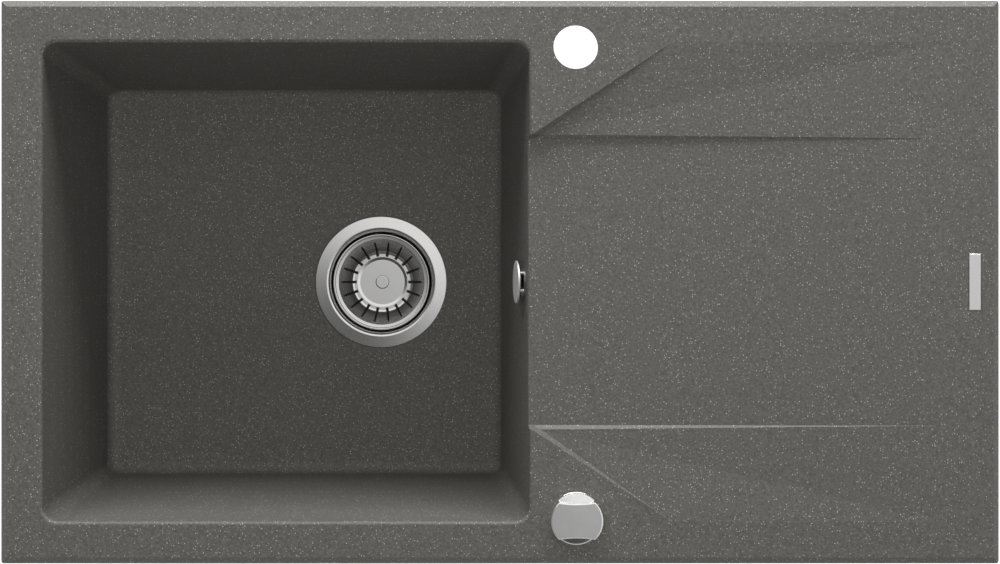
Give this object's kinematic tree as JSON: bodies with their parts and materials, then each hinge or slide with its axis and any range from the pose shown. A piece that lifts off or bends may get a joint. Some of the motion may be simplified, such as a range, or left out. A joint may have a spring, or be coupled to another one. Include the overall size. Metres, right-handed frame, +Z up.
{
  "type": "kitchen sink",
  "caption": "Inset granite composite kitchen sink: deep bowl with knob-operated basket strainer waste and overflow, beside a sloping faceted drainer",
  "frame": {"origin": "middle of the rim's footprint, on the worktop surface that the rim's seat band rests on", "axes": "+X along the sink from the bowl towards the drainer, +Y towards the tap hole at the back, +Z up"},
  "size_m": [0.78, 0.44, 0.3132],
  "materials": {
    "granite": "matte, speckled",
    "badge_metal": "satin",
    "stainless": "brushed",
    "fastener_steel": "plain",
    "chrome": "polished",
    "rubber": "matte",
    "white_plastic": "moulded",
    "black_plastic": "moulded"
  },
  "bodies": {
    "sink": {"sink_body": "granite", "badge_plate": "badge_metal", "waste_flange": "stainless", "centre_bolt": "fastener_steel", "lever_axle": "fastener_steel", "cover_screws": "fastener_steel", "knob_ring": "chrome", "overflow_cover": "chrome", "overflow_collar": "chrome", "flange_seal": "rubber", "body_seal": "rubber", "knob_seal": "rubber", "ring_seal": "rubber", "overflow_seal": "rubber", "waste_body": "white_plastic", "waste_sump": "white_plastic", "overflow_elbow": "white_plastic", "overflow_hose": "white_plastic", "hose_nuts": "white_plastic", "knob_housing": "black_plastic", "housing_cover": "black_plastic", "knob_cable_nut": "black_plastic", "waste_cable_nut": "black_plastic", "bowden_cable": "black_plastic"},
    "knob": {"control_knob": "chrome", "knob_spindle": "fastener_steel", "cable_drum": "white_plastic", "knob_screw": "fastener_steel"},
    "lifter": {"lift_pin": "fastener_steel"},
    "crank": {"lift_lever": "white_plastic"},
    "cable_end": {"pull_rod": "fastener_steel"},
    "basket": {"strainer_basket": "stainless", "basket_hub": "black_plastic", "basket_seal": "rubber", "basket_rivet": "stainless"}
  },
  "joints": [
    {"name": "knob_turn", "type": "hinge", "parent": "sink", "child": "knob", "pos_m": [0.0592, -0.1836, 0.02], "axis": [0, 0, -1], "range_deg": [0, 90]},
    {"name": "pin_lift", "type": "slide", "parent": "sink", "child": "lifter", "axis": [0, 0, 1], "range_m": [0, 0.01]},
    {"name": "crank_swing", "type": "hinge", "parent": "sink", "child": "crank", "pos_m": [-0.08182, -0.01357, -0.232], "axis": [0.5217, 0.8531, 0], "range_deg": [0, 19.5]},
    {"name": "cable_pull", "type": "slide", "parent": "sink", "child": "cable_end", "axis": [0.8531, -0.5217, 0], "range_m": [0, 0.0033]},
    {"name": "basket_lift_out", "type": "slide", "parent": "lifter", "child": "basket", "axis": [0, 0, 1], "range_m": [0, 0.24]}
  ],
  "couplings": [
    {"joint": "pin_lift", "follows": "knob_turn", "m_per_rad": 0.006366},
    {"joint": "crank_swing", "follows": "knob_turn", "ratio": 0.2166},
    {"joint": "cable_pull", "follows": "knob_turn", "m_per_rad": 0.0021}
  ]
}
